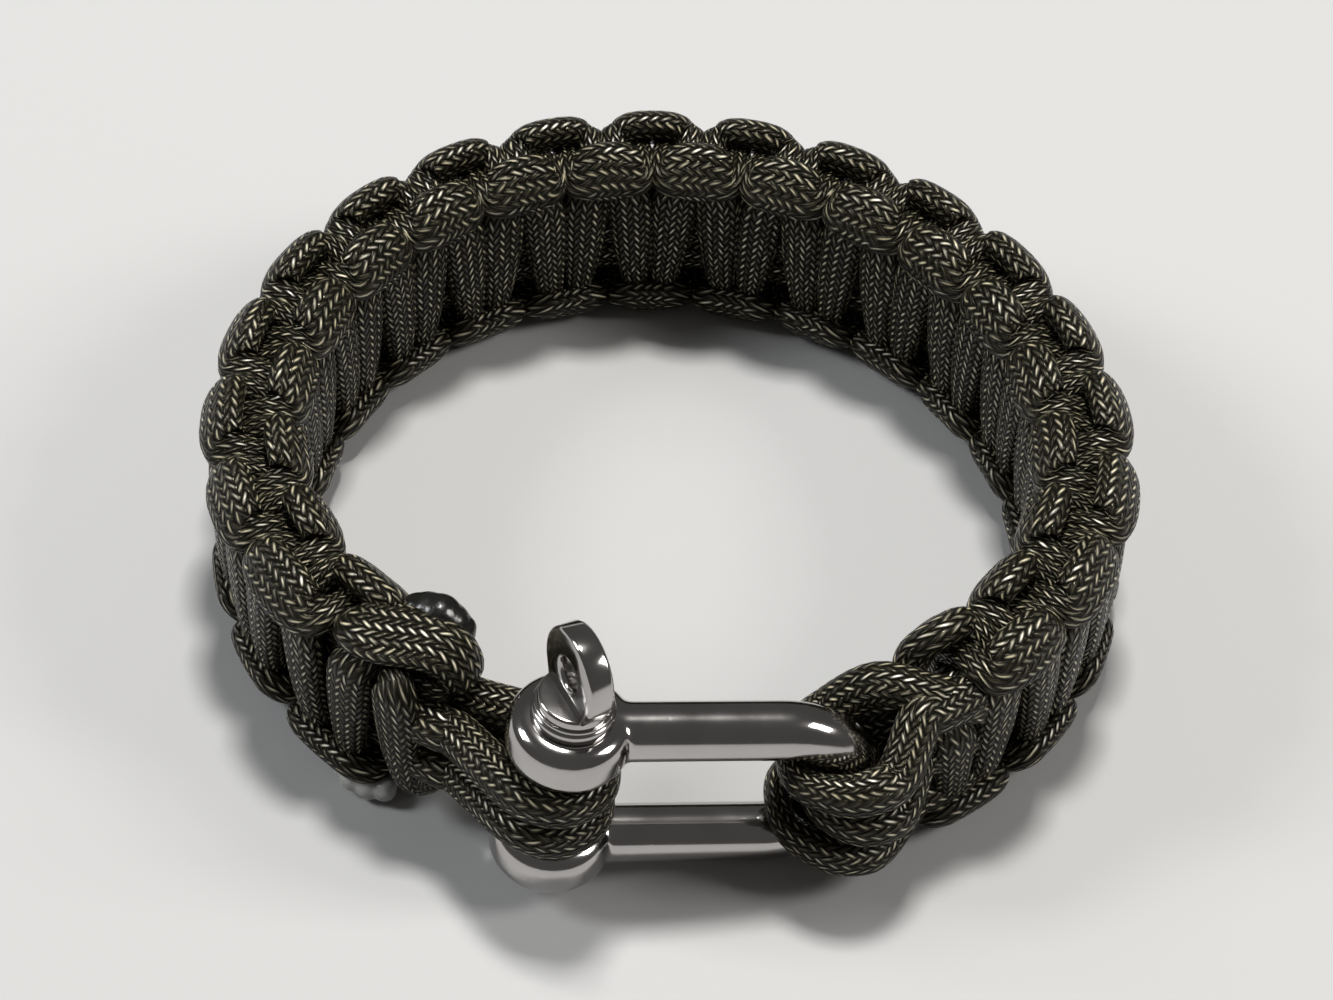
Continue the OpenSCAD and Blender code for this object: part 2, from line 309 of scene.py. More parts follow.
# ways in and out of the weave, in knots along and then as above but as they lie in the band
innerStart = [
    (-0.125, -0.5, -8.4, -100, 1.4, 1.4),
    (-0.155, 2.0, -6.9, -35, 1.4, 1.4),
    (-0.173, 2.7, -5.6, -15, 1.5, 1.35),
    (-0.20, 3.05, -2.6, -4, 1.85, 1.35),
    (-0.22, 3.15, 0.2, 0, 2.15, 1.35),
    (-0.24, 2.9, 2.2, 20, 2.25, 1.4),
    (-0.30, 1.5, 3.7, 55, 1.9, 1.45),
    (-0.36, -0.6, 4.8, 100, 1.6, 1.5),
    (-0.35, -2.4, 5.9, 140, 1.8, 1.5),
    (-0.27, -3.1, 7.2, 155, 2.1, 1.5),
    (-0.14, -3.05, 8.25, 150, 2.6, 1.5),
]
innerFinish = [
    (18.655, 1.6, 5.9, 42, 1.6, 1.4),
    (18.63, 0.2, 5.8, 80, 1.4, 1.4),
    (18.64, -1.6, 5.9, 115, 1.5, 1.4),
    (18.67, -3.3, 6.6, 150, 1.6, 1.5),
    (18.70, -4.1, 7.4, 160, 1.5, 1.5),
]
# the last outer turn lies along the top edge; the seventh number tips its normal along the ring
outerFinish = [
    (18.10, 0.6, 7.9, 80, 1.9, 1.4, 0),
    (18.20, 0.8, 8.6, 76, 2.6, 1.4, 0),
    (18.40, 0.2, 8.9, 78, 2.95, 1.4, 0),
    (18.65, -0.8, 9.0, 84, 3.0, 1.4, 0),
    (18.88, -1.5, 8.8, 90, 2.9, 1.45, 8),
    (19.04, -1.8, 8.0, 92, 2.7, 1.5, 35),
    (19.13, -1.9, 6.6, 92, 2.5, 1.5, 65),
    (19.15, -1.9, 5.0, 92, 2.3, 1.5, 85),
]
lastStretch = {"from": 17.4, "over": 0.8, "by": 1.9}   # knots, knots, mm further along than the even pitch


def placeOfKnot(s):
    share = min(max(s - lastStretch["from"], 0) / lastStretch["over"], 1)
    return firstTurn + s * knotLength + lastStretch["by"] * share * share * (3 - 2 * share)


def wholeKnot():
    down = upperTurn + [(0.5 - s, *rest) for s, *rest in reversed(lowerTurn)]
    return down + [(1 - s, *rest) for s, *rest in reversed(down[1:-1])]


def workingStrand(name, outer, first, last, start=(), finish=()):  # first and last: knot, row in it
    knot = wholeKnot()
    rows = []
    for k in range(first[0], last[0] + 1):
        for i, (s, out, up, turn, w, h) in enumerate(knot):
            if first <= (k, i) <= last:
                if outer:
                    rows.append((k + s + 0.5, -out, up, 180 - turn, w, h))
                else:
                    rows.append((k + s, out, up, turn, w, h))
    rows = [(*row, 0)[:7] for row in [*start, *rows, *finish]]
    stations = []
    for s, out, up, turn, w, h, tip in smoothRows(rows, 4):
        t = placeOfKnot(s)
        _, along, outward = bandFrame(t)
        normal = outward * cos(radians(turn)) + Vector((0, 0, sin(radians(turn))))
        normal = normal * cos(radians(tip)) + along * sin(radians(tip))
        stations.append((inBand(t, out, up), normal, w, h))
    return sweepStrand(name, stations, sides=18)


core = {"heights": (-5.1, -1.7, 1.7, 5.1), "halfWidth": 1.85, "halfThick": 1.7, "step": 1.5}   # mm


def coreStrands():
    strands = []
    for n, up in enumerate(core["heights"]):
        count = int((endPlace - startPlace) / core["step"])
        stations = []
        for i in range(count + 1):
            t = startPlace + (endPlace - startPlace) * i / count
            _, _, outward = bandFrame(t)
            stations.append((inBand(t, 0, up), outward, core["halfWidth"], core["halfThick"]))
        strands.append(sweepStrand(f"core_strand_{n + 1}", stations, sides=12)[0])
    return strands


# the loops of cord round the pin and in the bend, in mm
loops = {
    "cord": 2.0,             # radius
    "gap": 0.2,
    "pinRadius": 2.5,
    "pinSpacing": 5.4,
    "pinLift": 0.25,
    "pinHalf": 1.15,
    "bowSpacing": 5.7,
    "bowHalf": 1.15,
    "bowSpread": 0.6,
    "cornerShift": 1.5,
    "inside": 4.0,           # of each leg that goes on inside the band
    "straight": 2.0,         # of each leg outside the band
    # the upper loop's inner leg: knots along, mm outward, mm up
    "upperLeg": [(0.45, 0.0, 2.0), (0.20, 1.0, 3.0), (0.00, 2.0, 4.4), (-0.33, 0.9, 6.2), (-0.72, -2.4, 6.2)],
}
# turn about the pin, share of the cord's full roundness
pinWrap = [(-145, 1), (-95, 0.6), (-45, 0.2), (0, 0), (60, 0.7)]
# turn about the bend's rod, share of full roundness, of the corner shift, of the spread
bowWrap = [
    (96, 0.9, 0.2, 0), (135, 0.3, 0.9, 0), (180, 0, 1, 0), (225, 0.3, 0.9, 0), (264, 0.8, 0.2, 0),
    (292, 1, -0.4, 0.5), (320, 1, -0.7, 1),
]


def mixed(a, b, share):
    return a + (b - a) * share


def legRows(t, away, out, up):
    rows = []
    for off in (-loops["inside"], loops["gap"], loops["straight"]):
        place = inBand(t + away * off, out, up)
        rows.append((*place, loops["cord"], loops["cord"]))
    return rows


def loopStrand(name, rows):
    stations = []
    for x, y, z, halfWidth, halfThick in smoothRows(rows, 6):
        stations.append((Vector((x, y, z)), Vector((0, 0, 1)), halfWidth, halfThick))
    return sweepStrand(name, stations, sides=24, plump=0.95)


def pinLoop(name, level):
    wrap = []
    for turn, share in pinWrap:
        half = mixed(loops["pinHalf"], loops["cord"], share)
        reach = loops["pinRadius"] + loops["gap"] + half
        height = level * (loops["cord"] + loops["gap"]) + loops["pinLift"]
        place = shackleMatrix @ Vector((reach * cos(radians(turn)), reach * sin(radians(turn)), height))
        wrap.append((*place, half, loops["cord"]))
    up = level * loops["pinSpacing"] / 2
    rows = legRows(endPlace, 1, ring["legOffset"], up) + wrap
    rows += list(reversed(legRows(endPlace, 1, -ring["legOffset"], up)))
    return loopStrand(name, rows)


def bowLoop(name, level):
    squeezed = (shackle["innerWidth"] - 6 * loops["gap"]) / 6
    wrap = []
    for turn, full, corner, spread in bowWrap:
        halfWidth = mixed(loops["bowHalf"], loops["cord"], full)
        halfHeight = mixed(squeezed, loops["cord"], full)
        reach = shackle["rod"] / 2 + loops["gap"] + halfWidth
        height = level * (2 * halfHeight + 1.5 * loops["gap"] + spread * loops["bowSpread"])
        rodPlace = shackle["pinToBend"] + sqrt(bendRadius ** 2 - height ** 2)
        across = rodPlace + reach * cos(radians(turn)) - abs(level) * corner * loops["cornerShift"]
        place = shackleMatrix @ Vector((across, reach * sin(radians(turn)), height))
        wrap.append((*place, halfWidth, halfHeight))
    up = level * loops["bowSpacing"]
    if level == 1:
        rows = [(*inBand(firstTurn + s * knotLength, out, high), loops["cord"], loops["cord"])
                for s, out, high in loops["upperLeg"]] + wrap
    else:
        rows = legRows(startPlace, -1, -ring["legOffset"], up) + wrap
    rows += list(reversed(legRows(startPlace, -1, ring["legOffset"], up)))
    return loopStrand(name, rows)


def addNode(tree, kind, place, **values):
    node = tree.nodes.new(kind)
    node.location = place
    for name, value in values.items():
        setattr(node, name, value)
    return node


def mathNode(tree, operation, place, *inputs, clamp=False):
    node = addNode(tree, "ShaderNodeMath", place, operation=operation, use_clamp=clamp)
    for i, value in enumerate(inputs):
        if isinstance(value, (int, float)):
            node.inputs[i].default_value = value
        else:
            tree.links.new(value, node.inputs[i])
    return node.outputs[0]


def mixColor(tree, place, factor, first, second):
    node = addNode(tree, "ShaderNodeMix", place, data_type="RGBA")
    for socket, value in ((node.inputs[0], factor), (node.inputs[6], first), (node.inputs[7], second)):
        if isinstance(value, (tuple, list)):
            socket.default_value = value
        elif isinstance(value, (int, float)):
            socket.default_value = value
        else:
            tree.links.new(value, socket)
    return node.outputs[2]


braid = {
    "crossingDip": 0.75,        # share of the height that a yarn loses where it goes under
    "shade": (0.8, 0.4),        # least, and how much more at random
    "patchScale": 210.0,
    "patchEdge": (0.44, 0.56),
    "otherLay": (0.07, 0.93),   # painted glint of the lay that isn't chosen, and how much more the chosen has
    "dimPaintedGlint": (0.45, 0.55),   # least, and how much more at random, of each painted glint
    "paintedShadePower": 1.6,           # powers: the painted shade on a yarn's sides and in its dips, the narrowness and shortness of a painted glint
    "narrowness": 24.0,
    "shortness": 2.2,
    "roughness": (0.5, 0.29),   # in the dips, and how much less on the crest
}


sheathSockets = {
    "INPUT": {"Yarns Round": "Float", "Yarns Per Unit": "Float", "Painted Crevice Shade": "Color", "Yarn": "Color",
              "Painted Glint": "Color", "Painted Glint Share": "Float"},
    "OUTPUT": {"Color": "Color", "Height": "Float", "Roughness": "Float", "Glint": "Float"},
}


def buildSheathGroup():
    tree = bpy.data.node_groups.new("braidedSheath", "ShaderNodeTree")
    for way, sockets in sheathSockets.items():
        for name, kind in sockets.items():
            tree.interface.new_socket(name=name, in_out=way, socket_type="NodeSocket" + kind)
    given = addNode(tree, "NodeGroupInput", (-1800, 0))
    made = addNode(tree, "NodeGroupOutput", (900, 0))
    uvMap = addNode(tree, "ShaderNodeUVMap", (-1800, 300), uv_map="sheath")
    split = addNode(tree, "ShaderNodeSeparateXYZ", (-1600, 300))
    tree.links.new(uvMap.outputs[0], split.inputs[0])
    m = lambda *args, **kw: mathNode(tree, *args, **kw)

    # the yarns of both lays as two grids of slanting lines, and which of them is on top in each cell
    around = m("MULTIPLY", (-1400, 400), split.outputs[0], given.outputs["Yarns Round"])
    along = m("MULTIPLY", (-1400, 250), split.outputs[1], given.outputs["Yarns Per Unit"])
    a = m("ADD", (-1200, 400), around, along)
    b = m("SUBTRACT", (-1200, 250), around, along)
    i, fa = m("FLOOR", (-1000, 500), a), m("FRACT", (-1000, 400), a)
    j, fb = m("FLOOR", (-1000, 300), b), m("FRACT", (-1000, 200), b)
    four = m("FLOORED_MODULO", (-800, 450), m("ADD", (-900, 550), i, j), 4.0)
    crossed = m("GREATER_THAN", (-700, 450), four, 1.5)
    cell = m("SUBTRACT", (-600, 450), four, m("MULTIPLY", (-650, 550), crossed, 2.0))
    straight = m("SUBTRACT", (-700, 600), 1.0, crossed)
    side = m("ADD", (-450, 400),
             m("MULTIPLY", (-550, 400), fa, straight),
             m("MULTIPLY", (-550, 300), fb, crossed))
    inCell = m("ADD", (-450, 250),
               m("MULTIPLY", (-550, 200), fb, straight),
               m("MULTIPLY", (-550, 100), fa, crossed))
    run = m("MULTIPLY", (-350, 250), m("ADD", (-400, 150), cell, inCell), 0.5)
    yarn = m("ADD", (-450, 0),
             m("MULTIPLY", (-550, 0), i, straight),
             m("MULTIPLY", (-550, -100), j, crossed))

    # how far a point is from the yarn's middle line and from the middle of its float
    doubleSide, doubleRun = m("MULTIPLY", (-350, 400), side, 2.0), m("MULTIPLY", (-320, 200), run, 2.0)
    offSide = m("ABSOLUTE", (-250, 400), m("SUBTRACT", (-300, 400), doubleSide, 1.0))
    offRun = m("ABSOLUTE", (-250, 250), m("SUBTRACT", (-300, 250), doubleRun, 1.0))
    squared = m("MULTIPLY", (-150, 400), offSide, offSide)
    ridge = m("SQRT", (-50, 400), m("SUBTRACT", (-100, 400), 1.0, squared, clamp=True))
    arch = m("SUBTRACT", (-50, 250), 1.0, m("POWER", (-150, 250), offRun, 2.0), clamp=True)
    dip = braid["crossingDip"]
    alongFloat = m("ADD", (0, 200), m("MULTIPLY", (-20, 180), arch, dip), 1 - dip)
    height = m("MULTIPLY", (50, 350), ridge, alongFloat)

    # one random value for each float of each yarn
    grain = addNode(tree, "ShaderNodeTexWhiteNoise", (-250, -50), noise_dimensions="2D")
    pair = addNode(tree, "ShaderNodeCombineXYZ", (-350, -50))
    tree.links.new(yarn, pair.inputs[0])
    floatRow = m("SUBTRACT", (-500, -250), m("ADD", (-600, -250), i, j), four)
    tree.links.new(m("ADD", (-400, -200), floatRow, crossed), pair.inputs[1])
    tree.links.new(pair.outputs[0], grain.inputs["Vector"])
    ownValue = grain.outputs["Value"]
    shadeLeast, shadeMore = braid["shade"]
    shade = m("ADD", (0, -50), m("MULTIPLY", (-100, -50), ownValue, shadeMore), shadeLeast)
    # painted highlight: patches of a few mm where the painted glints of one lay are brighter than those of
    # the other, standing in for that lay catching the light
    coordinate = addNode(tree, "ShaderNodeTexCoord", (-1000, -400))
    patches = addNode(tree, "ShaderNodeTexNoise", (-800, -400))
    patches.inputs["Scale"].default_value = braid["patchScale"]
    patches.inputs["Detail"].default_value = 1.0
    tree.links.new(coordinate.outputs["Object"], patches.inputs["Vector"])
    lay = addNode(tree, "ShaderNodeMapRange", (-600, -400))
    lay.inputs["From Min"].default_value, lay.inputs["From Max"].default_value = braid["patchEdge"]
    tree.links.new(patches.outputs["Fac"], lay.inputs["Value"])
    chosen = m("ABSOLUTE", (-400, -400), m("SUBTRACT", (-500, -400), crossed, lay.outputs[0]))
    layLeast, layMore = braid["otherLay"]
    paintedGlintLeast, paintedGlintMore = braid["dimPaintedGlint"]
    bright = m("MULTIPLY", (0, -150),
               m("ADD", (-100, -250), m("MULTIPLY", (-200, -250), chosen, layMore), layLeast),
               m("ADD", (-100, -150), m("MULTIPLY", (-200, -150), ownValue, paintedGlintMore), paintedGlintLeast))

    # painted shade: the yarn's colour goes dark towards its sides and where it dips under another yarn
    paintedShadeMix = m("POWER", (120, 250), height, braid["paintedShadePower"])
    body = mixColor(tree, (200, 200), paintedShadeMix, given.outputs["Painted Crevice Shade"], given.outputs["Yarn"])
    # painted glint: a cream dash on the crest of each float, painted into the base colour; the same mask sets
    # the coat's weight, which gives the crests real gloss from the lamps
    coatAndPaintedGlintMask = m("MULTIPLY", (200, 0),
                  m("POWER", (100, 50), ridge, braid["narrowness"]),
                  m("POWER", (100, -50), arch, braid["shortness"]))
    coatAndPaintedGlintMask = m("MULTIPLY", (250, 0), coatAndPaintedGlintMask, bright)
    coatAndPaintedGlintMask = m("MULTIPLY", (300, 0), coatAndPaintedGlintMask, given.outputs["Painted Glint Share"], clamp=True)
    tree.links.new(coatAndPaintedGlintMask, made.inputs["Glint"])
    paintedGlintColor = mixColor(tree, (450, 150), coatAndPaintedGlintMask, body, given.outputs["Painted Glint"])
    tinted = addNode(tree, "ShaderNodeMix", (600, 150), data_type="RGBA", blend_type="MULTIPLY")
    tinted.inputs[0].default_value = 1.0
    tree.links.new(paintedGlintColor, tinted.inputs[6])
    gray = addNode(tree, "ShaderNodeCombineColor", (450, -50))
    for socket in gray.inputs:
        tree.links.new(shade, socket)
    tree.links.new(gray.outputs[0], tinted.inputs[7])
    tree.links.new(tinted.outputs[2], made.inputs["Color"])
    tree.links.new(height, made.inputs["Height"])
    roughDip, roughLess = braid["roughness"]
    smoother = m("MULTIPLY", (400, -200), m("POWER", (300, -200), ridge, 2.0), roughLess)
    rough = m("SUBTRACT", (500, -200), roughDip, smoother)
    tree.links.new(rough, made.inputs["Roughness"])
    return tree


cordFinish = {
    "sheath": {
        "Yarns Round": 20.0,
        "Yarns Per Unit": 10.5,
        # painted shade in the dips and on the sides of the yarns
        "Painted Crevice Shade": (0.002, 0.002, 0.0015, 1),
        "Yarn": (0.0105, 0.0094, 0.0052, 1),
        # painted glint colour, mixed into the base colour on the yarns' crests
        "Painted Glint": (0.56, 0.52, 0.36, 1),
        "Painted Glint Share": 1.0,
    },
    "bump": 0.00022,         # metres
    "specular": 0.17,
    "shine": (1, 0.93, 0.72, 1),
    "glintRoughness": 0.46,
    "glintIor": 3.4,
}


def cordMaterial(group):
    material = bpy.data.materials.new("oliveParacord")
    material.use_nodes = True
    tree = material.node_tree
    shader = tree.nodes["Principled BSDF"]
    sheath = addNode(tree, "ShaderNodeGroup", (-500, 200))
    sheath.node_tree = group
    for name, value in cordFinish["sheath"].items():
        sheath.inputs[name].default_value = value
    bump = addNode(tree, "ShaderNodeBump", (-250, -100))
    bump.inputs["Strength"].default_value = 1.0
    bump.inputs["Distance"].default_value = cordFinish["bump"]
    tree.links.new(sheath.outputs["Height"], bump.inputs["Height"])
    tree.links.new(sheath.outputs["Color"], shader.inputs["Base Color"])
    tree.links.new(sheath.outputs["Roughness"], shader.inputs["Roughness"])
    tree.links.new(sheath.outputs["Glint"], shader.inputs["Coat Weight"])
    tree.links.new(bump.outputs["Normal"], shader.inputs["Normal"])
    shader.inputs["Coat Roughness"].default_value = cordFinish["glintRoughness"]
    shader.inputs["Coat IOR"].default_value = cordFinish["glintIor"]
    shader.inputs["Coat Tint"].default_value = cordFinish["shine"]
    shader.inputs["Specular IOR Level"].default_value = cordFinish["specular"]
    shader.inputs["Specular Tint"].default_value = cordFinish["shine"]
    return material


steelFinish = {
    "dull": (0.41, 0.395, 0.385, 1),
    "clear": (0.52, 0.505, 0.495, 1),
    "roughness": (0.06, 0.2),
    "smearScale": 260.0,
    "pitScale": 900.0,
    "pitRim": (0.18, 0.1),   # distance from a pit's middle to its rim, and how soft the rim is
    "pitDepth": 0.00004,     # metres
}


def steelMaterial():
    material = bpy.data.materials.new("polishedSteel")
    material.use_nodes = True
    tree = material.node_tree
    shader = tree.nodes["Principled BSDF"]
    shader.inputs["Metallic"].default_value = 1.0
    coordinate = addNode(tree, "ShaderNodeTexCoord", (-1000, 0))
    smear = addNode(tree, "ShaderNodeTexNoise", (-700, 200))
    smear.inputs["Scale"].default_value = steelFinish["smearScale"]
    smear.inputs["Detail"].default_value = 4.0
    tree.links.new(coordinate.outputs["Object"], smear.inputs["Vector"])
    rough = addNode(tree, "ShaderNodeMapRange", (-450, 100))
    rough.inputs["To Min"].default_value, rough.inputs["To Max"].default_value = steelFinish["roughness"]
    tree.links.new(smear.outputs["Fac"], rough.inputs["Value"])
    tree.links.new(rough.outputs[0], shader.inputs["Roughness"])
    color = mixColor(tree, (-450, 350), smear.outputs["Fac"], steelFinish["dull"], steelFinish["clear"])
    tree.links.new(color, shader.inputs["Base Color"])
    pits = addNode(tree, "ShaderNodeTexVoronoi", (-700, -200), feature="F1")
    pits.inputs["Scale"].default_value = steelFinish["pitScale"]
    tree.links.new(coordinate.outputs["Object"], pits.inputs["Vector"])
    pitDepth = mathNode(tree, "SMOOTH_MIN", (-500, -200), pits.outputs["Distance"], *steelFinish["pitRim"])
    bump = addNode(tree, "ShaderNodeBump", (-250, -200))
    bump.inputs["Strength"].default_value = 0.5
    bump.inputs["Distance"].default_value = steelFinish["pitDepth"]
    tree.links.new(pitDepth, bump.inputs["Height"])
    tree.links.new(bump.outputs["Normal"], shader.inputs["Normal"])
    return material


meltedFinish = {"lumpScale": 900.0, "darkShare": 0.5, "roughness": (0.12, 0.38), "bump": 0.0001}


def meltedMaterial(name, color):
    material = bpy.data.materials.new(name)
    material.use_nodes = True
    tree = material.node_tree
    shader = tree.nodes["Principled BSDF"]
    coordinate = addNode(tree, "ShaderNodeTexCoord", (-900, 0))
    lumps = addNode(tree, "ShaderNodeTexNoise", (-700, 0))
    lumps.inputs["Scale"].default_value = meltedFinish["lumpScale"]
    tree.links.new(coordinate.outputs["Object"], lumps.inputs["Vector"])
    dark = tuple(meltedFinish["darkShare"] * c for c in color[:3]) + (1,)
    shade = mixColor(tree, (-450, 200), lumps.outputs["Fac"], dark, color)
    tree.links.new(shade, shader.inputs["Base Color"])
    rough = addNode(tree, "ShaderNodeMapRange", (-450, -50))
    rough.inputs["To Min"].default_value, rough.inputs["To Max"].default_value = meltedFinish["roughness"]
    tree.links.new(lumps.outputs["Fac"], rough.inputs["Value"])
    tree.links.new(rough.outputs[0], shader.inputs["Roughness"])
    bump = addNode(tree, "ShaderNodeBump", (-250, -200))
    bump.inputs["Distance"].default_value = meltedFinish["bump"]
    tree.links.new(lumps.outputs["Fac"], bump.inputs["Height"])
    tree.links.new(bump.outputs["Normal"], shader.inputs["Normal"])
    return material


def selectOnly(piece):
    bpy.ops.object.select_all(action="DESELECT")
    piece.select_set(True)
    bpy.context.view_layer.objects.active = piece


def applyModifier(piece, kind, **values):
    selectOnly(piece)
    modifier = piece.modifiers.new(kind.lower(), kind)
    for name, value in values.items():
        setattr(modifier, name, value)
    bpy.ops.object.modifier_apply(modifier=modifier.name)


def joinPieces(pieces, name):
    bpy.ops.object.select_all(action="DESELECT")
    for piece in pieces:
        piece.select_set(True)
    bpy.context.view_layer.objects.active = pieces[0]
    bpy.ops.object.join()
    joined = bpy.context.object
    joined.name = name
    return joined


def applyPlace(piece):
    selectOnly(piece)
    bpy.ops.object.transform_apply(location=True, rotation=True, scale=True)


def placeInShackle(piece):
    metres = Matrix.Translation(pinPlace * mm) @ shackleMatrix.to_3x3().to_4x4()
    piece.matrix_world = metres @ piece.matrix_world
    applyPlace(piece)


def pointNormalsOut():  # in edit mode
    bpy.ops.mesh.select_all(action="SELECT")
    bpy.ops.mesh.normals_make_consistent(inside=False)


def drillHole(piece, radius, depth, sides, **place):
    bpy.ops.mesh.primitive_cylinder_add(vertices=sides, radius=radius * mm, depth=depth * mm, **place)
    drill = bpy.context.object
    applyModifier(piece, "BOOLEAN", operation="DIFFERENCE", object=drill, solver="EXACT")
    bpy.data.objects.remove(drill)


def shackleBody():
    rod = shackle["rod"] / 2 * mm
    blanks = []
    for side in (-1, 1):
        height = side * bendRadius * mm
        bpy.ops.mesh.primitive_cylinder_add(
            vertices=96, radius=shackle["eye"] / 2 * mm, depth=shackle["rod"] * mm, location=(0, 0, height))
        eye = bpy.context.object
        applyModifier(eye, "BEVEL", width=shackle["eyeRounding"] * mm, segments=8, limit_method="ANGLE")
        blanks.append(eye)
        bpy.ops.mesh.primitive_cylinder_add(
            vertices=64, radius=rod, depth=shackle["pinToBend"] * mm,
            location=(shackle["pinToBend"] / 2 * mm, 0, height), rotation=(0, radians(90), 0))
        blanks.append(bpy.context.object)
    bpy.ops.mesh.primitive_circle_add(
        vertices=64, radius=rod, fill_type="NGON",
        location=(shackle["pinToBend"] * mm, 0, -bendRadius * mm), rotation=(0, radians(90), 0))
    bend = bpy.context.object
    applyPlace(bend)
    bpy.ops.object.mode_set(mode="EDIT")
    bpy.ops.mesh.select_all(action="SELECT")
    bpy.ops.mesh.spin(steps=48, angle=math.pi, center=(shackle["pinToBend"] * mm, 0, 0), axis=(0, 1, 0))
    bpy.ops.mesh.select_all(action="SELECT")
    bpy.ops.mesh.remove_doubles(threshold=0.00001)
    pointNormalsOut()
    bpy.ops.object.mode_set(mode="OBJECT")
    blanks.append(bend)
    body = joinPieces(blanks, "shackle_d")
    applyModifier(body, "REMESH", mode="VOXEL", voxel_size=shackle["grain"] * mm)
    applyModifier(body, "SMOOTH", factor=0.5, iterations=shackle["softening"])
    drillHole(body, shackle["boreRadius"], shackle["drillLength"], 96, location=(0, 0, 0))
    selectOnly(body)
    bpy.ops.object.shade_smooth_by_angle(angle=radians(40))
    placeInShackle(body)
    return body


# the screw pin, in mm and degrees
pin = {
    "radius": 2.5,
    "seatGap": 0.1,
    "collar": (3.6, 1.2),       # radius, height
    "collarRing": (3.42, 0.45),
    "neck": (3.2, 1.4),
    "sunk": 0.05,               # of the ring and the neck in the collar
    "tabRadius": 4.2,
    "tabThickness": 2.3,
    "tabCentre": 4.4,
    "tabHole": 1.5,
    "tabTurn": -69.0,
    "drillLength": 8.0,
    "taperTurn": 25.0,          # below the tab's middle, where its sides go straight down
    "footHalf": 2.6,
    "edge": 0.38,
    "turnedEdge": 0.3,
    "ringEdge": 0.16,
}


def turnedPart(radius, foot, height, edge):
    bpy.ops.mesh.primitive_cylinder_add(
        vertices=80, radius=radius * mm, depth=height * mm, location=(0, 0, (foot + height / 2) * mm))
    part = bpy.context.object
    applyModifier(part, "BEVEL", width=edge * mm, segments=4, limit_method="ANGLE")
    return part


def thumbTab(collarTop):  # a disc cut off below and drawn down to the collar
    centre = collarTop + pin["tabCentre"]
    radius = pin["tabRadius"]
    cut = radius * sin(radians(pin["taperTurn"]))
    bpy.ops.mesh.primitive_cylinder_add(
        vertices=96, radius=radius * mm, depth=pin["tabThickness"] * mm,
        location=(0, 0, centre * mm), rotation=(radians(90), 0, 0))
    tab = bpy.context.object
    applyPlace(tab)
    bpy.ops.object.mode_set(mode="EDIT")
    bpy.ops.mesh.select_all(action="SELECT")
    bpy.ops.mesh.bisect(
        plane_co=(0, 0, (centre - cut) * mm), plane_no=(0, 0, 1), use_fill=True, clear_inner=True)
    bpy.ops.mesh.extrude_region_move(
        TRANSFORM_OT_translate={"value": (0, 0, (collarTop - centre + cut) * mm)})
    narrow = pin["footHalf"] / (radius * cos(radians(pin["taperTurn"])))
    bpy.ops.transform.resize(value=(narrow, 1, 1), center_override=(0, 0, collarTop * mm))
    pointNormalsOut()
    bpy.ops.object.mode_set(mode="OBJECT")
    drillHole(
        tab, pin["tabHole"], pin["drillLength"], 64,
        location=(0, 0, centre * mm), rotation=(radians(90), 0, 0))
    applyModifier(
        tab, "BEVEL", width=pin["edge"] * mm, segments=4, limit_method="ANGLE", angle_limit=radians(50))
    tab.rotation_euler = (0, 0, radians(pin["tabTurn"]))
    applyPlace(tab)
    return tab


def screwPin():
    eyeTop = bendRadius + shackle["rod"] / 2
    foot = eyeTop + pin["seatGap"]
    collarTop = foot + pin["collar"][1]
    ringFoot = collarTop - pin["sunk"]
    shankHeight = 2 * eyeTop + pin["collar"][1]
    parts = [
        turnedPart(pin["radius"], -eyeTop, shankHeight, pin["turnedEdge"]),
        turnedPart(pin["collar"][0], foot, pin["collar"][1], pin["turnedEdge"]),
        turnedPart(pin["collarRing"][0], ringFoot, pin["collarRing"][1], pin["ringEdge"]),
        turnedPart(pin["neck"][0], ringFoot, pin["neck"][1], pin["turnedEdge"]),
        thumbTab(collarTop),
    ]
    made = joinPieces(parts, "screw_pin_turned")
    selectOnly(made)
    bpy.ops.object.shade_smooth_by_angle(angle=radians(35))
    placeInShackle(made)
    return made


meltedSkin = {"grain": 0.12, "softening": 30}   # mm, rounds of smoothing
# lumps of each melted end: mm along from its middle, mm outward, mm up, radius
meltedTop = {
    "middle": endPlace - 4.2,
    "lumps": [(-2.0, -3.8, 8.4, 1.7), (-1.0, -4.1, 8.6, 1.9), (0.2, -4.3, 8.6, 2.1), (1.1, -4.5, 8.0, 2.0),
              (1.9, -4.5, 7.3, 1.8), (2.5, -5.1, 7.7, 1.1), (0.4, -5.0, 6.8, 1.7)],
}
meltedBottom = {
    "middle": lastTurn - knotLength / 2,
    "lumps": [(-1.6, 3.3, -9.4, 1.2), (-0.4, 3.5, -9.8, 1.4), (1.0, 3.3, -10.0, 1.35), (2.3, 2.8, -9.9, 1.2)],
}


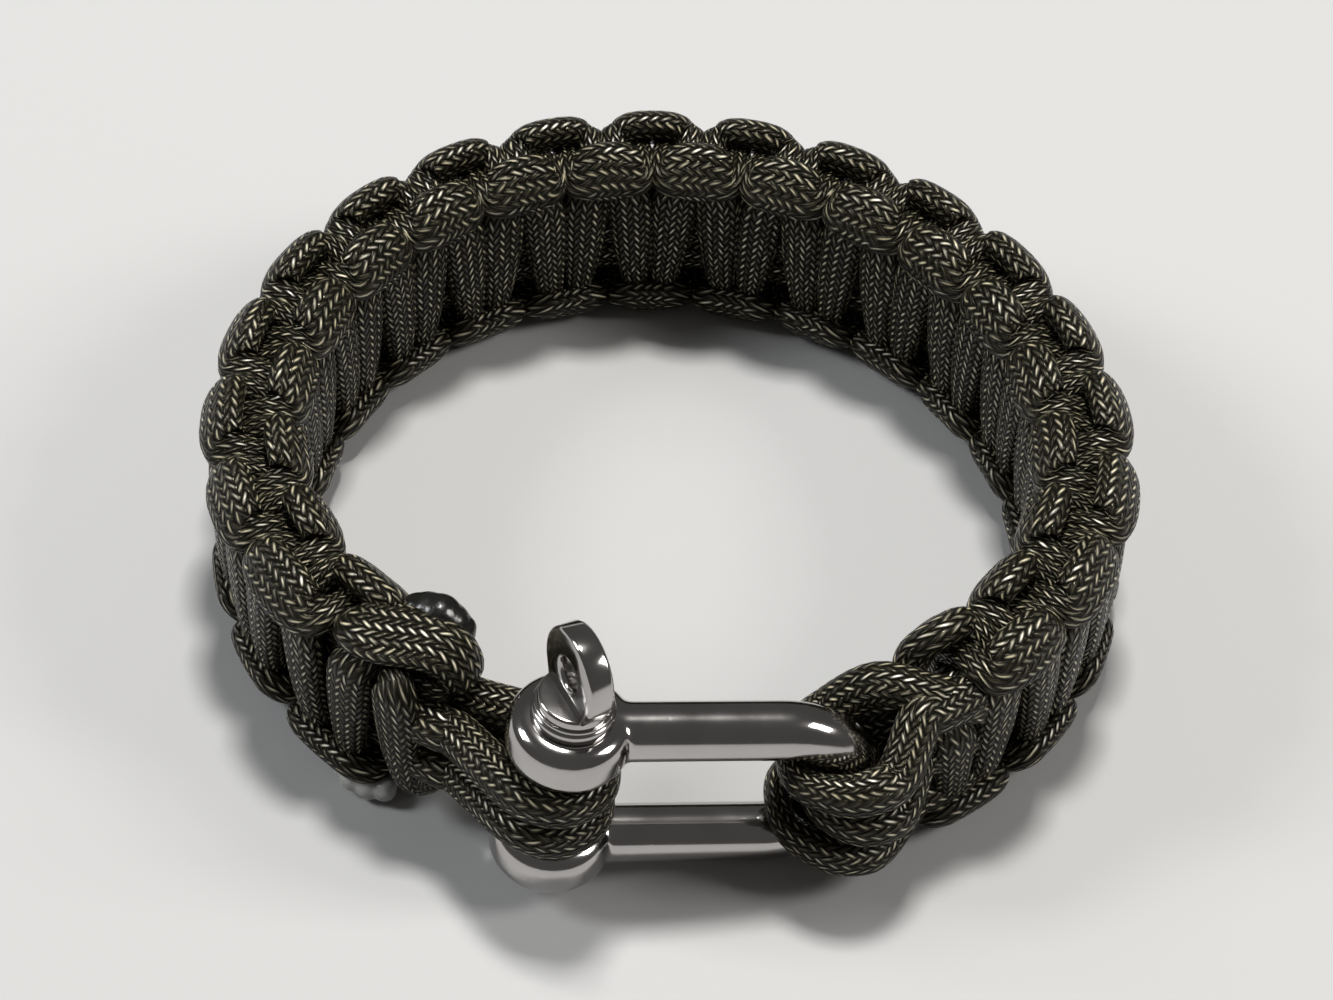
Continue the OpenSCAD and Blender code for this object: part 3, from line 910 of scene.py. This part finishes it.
def meltedEnd(name, shape):
    balls = []
    for along, out, up, radius in shape["lumps"]:
        place = inBand(shape["middle"] + along, out, up) * mm
        bpy.ops.mesh.primitive_ico_sphere_add(subdivisions=3, radius=radius * mm, location=place)
        balls.append(bpy.context.object)
    lump = joinPieces(balls, name)
    applyPlace(lump)
    applyModifier(lump, "REMESH", mode="VOXEL", voxel_size=meltedSkin["grain"] * mm)
    applyModifier(lump, "SMOOTH", factor=0.5, iterations=meltedSkin["softening"])
    selectOnly(lump)
    bpy.ops.object.shade_smooth()
    return lump


placeCamera()
dressStudio()
print("stage: camera, floor and light")

cord = cordMaterial(buildSheathGroup())
steel = steelMaterial()
meltedBlack = meltedMaterial("meltedBlack", (0.008, 0.008, 0.007, 1))
meltedGrey = meltedMaterial("meltedGrey", (0.42, 0.42, 0.4, 1))

innerTurns, innerLength = workingStrand(
    "working_strand_inner_turns", False, (0, 0), (18, 32), innerStart, innerFinish)
outerTurns, outerLength = workingStrand(
    "working_strand_outer_turns", True, (-1, 16), (17, 34), (), outerFinish)
for piece in [innerTurns, outerTurns] + coreStrands():
    piece.data.materials.append(cord)
    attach(piece, "bracelet")
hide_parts("woven_band")
print(f"stage: band, strands of {innerLength:.0f} and {outerLength:.0f} mm")

for name, make, level, node in (
    ("cord_round_pin_upper", pinLoop, 1, "pin_loop_upper"),
    ("cord_round_pin_lower", pinLoop, -1, "pin_loop_lower"),
    ("cord_in_bend_upper", bowLoop, 1, "bow_loop_upper"),
    ("cord_in_bend_middle", bowLoop, 0, "bow_loop_middle"),
    ("cord_in_bend_lower", bowLoop, -1, "bow_loop_lower"),
):
    piece = make(name, level)[0]
    piece.data.materials.append(cord)
    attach(piece, "bracelet")
    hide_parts(node)
print("stage: loops")

body = shackleBody()
body.data.materials.clear()
body.data.materials.append(steel)
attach(body, "bracelet")
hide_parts("shackle_body")
print("stage: shackle")

turned = screwPin()
turned.data.materials.clear()
turned.data.materials.append(steel)
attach(turned, "screw_pin")
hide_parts("shackle_pin")
print("stage: screw pin")

for name, shape, material, slot, node in (
    ("melted_lump_top", meltedTop, meltedBlack, "melted_black", "melted_end_top"),
    ("melted_lump_bottom", meltedBottom, meltedGrey, "melted_grey", "melted_end_bottom"),
):
    lump = meltedEnd(name, shape)
    lump.data.materials.clear()
    lump.data.materials.append(material)
    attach(lump, "bracelet")
    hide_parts(node)
print("stage: melted ends")

print("stage: finish")
